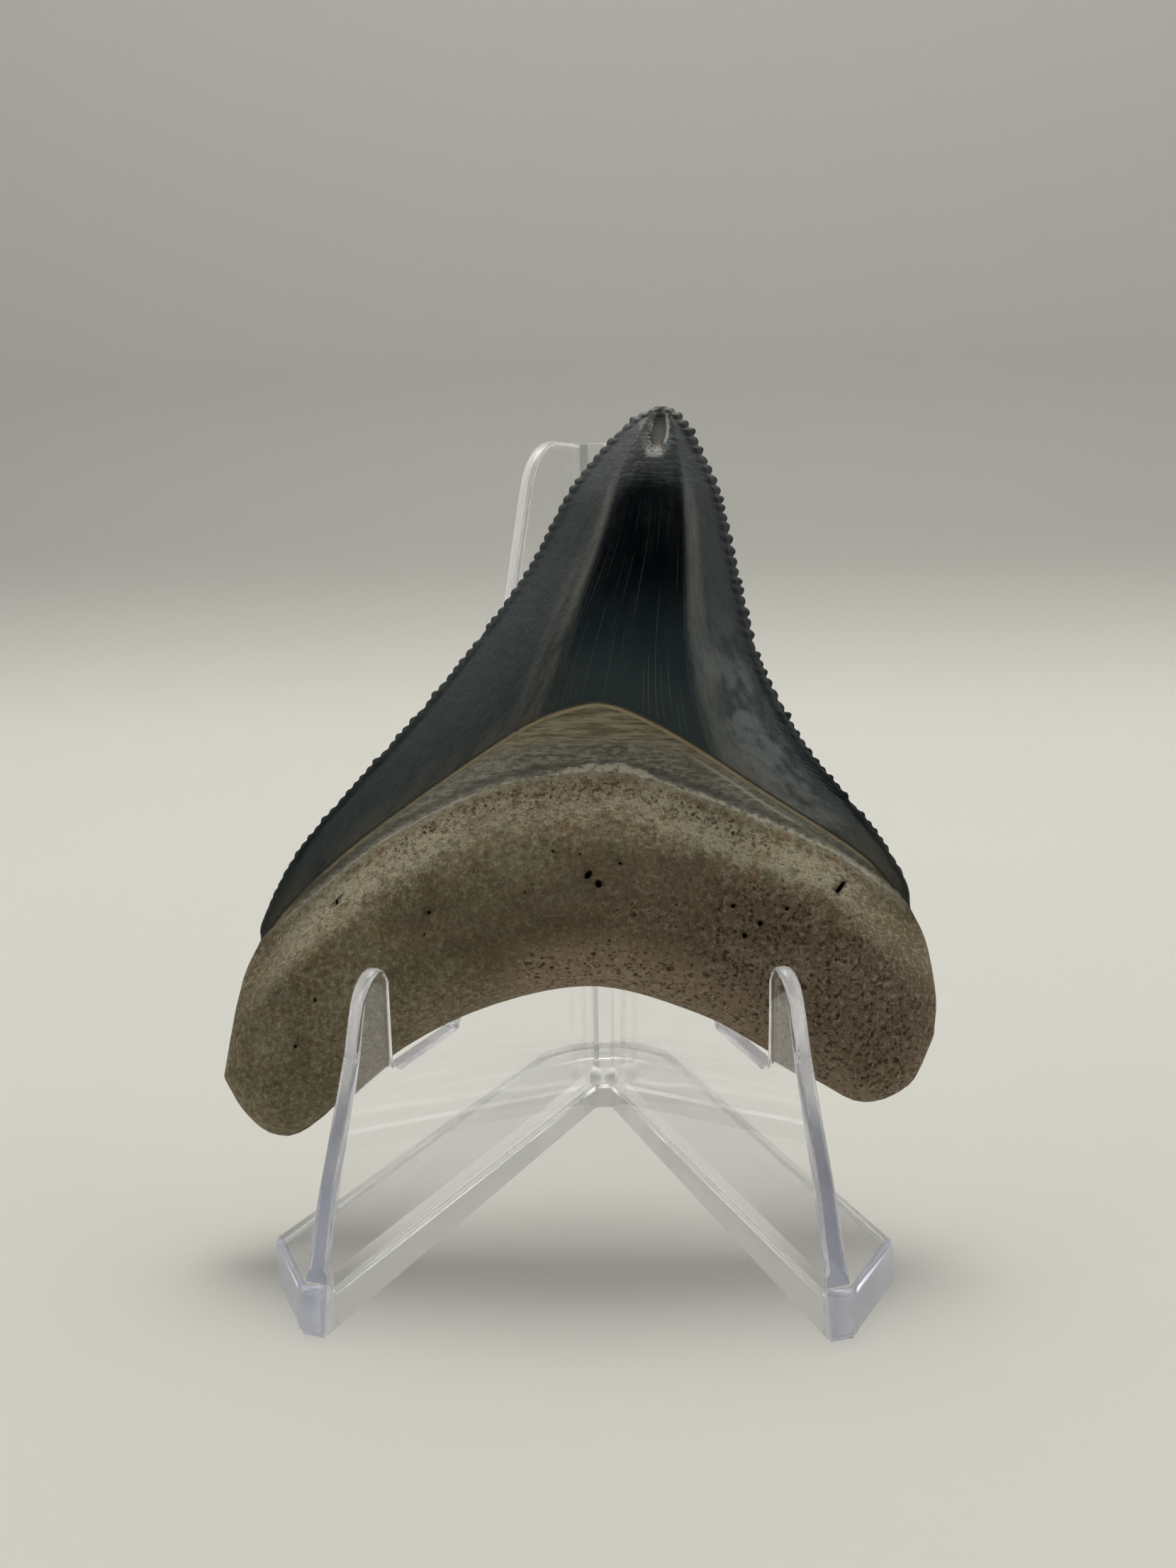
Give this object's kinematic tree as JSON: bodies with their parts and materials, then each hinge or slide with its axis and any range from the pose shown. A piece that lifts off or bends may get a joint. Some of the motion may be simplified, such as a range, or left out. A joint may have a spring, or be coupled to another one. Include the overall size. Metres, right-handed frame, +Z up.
{
  "type": "fossil shark tooth on display stand",
  "caption": "Serrated megalodon tooth with a two-lobed root, leaning on a V-shaped clear plastic easel with two prongs.",
  "frame": {"origin": "middle of the whole object's footprint, at the height of the surface it stands on", "axes": "+Z up; -Y is the front, toward which the tooth's bulging lingual face and the prongs look; +X to the right seen from the front"},
  "size_m": [0.0654, 0.0662, 0.0772],
  "materials": {
    "fossil": "glossy dark grey-blue enamel over a dry, finely pitted tan root",
    "clear_plastic": "clear, polished, with a faint violet-blue cast at the edges"
  },
  "bodies": {
    "root": {"tooth": "fossil", "display_stand": "clear_plastic"}
  },
  "joints": []
}
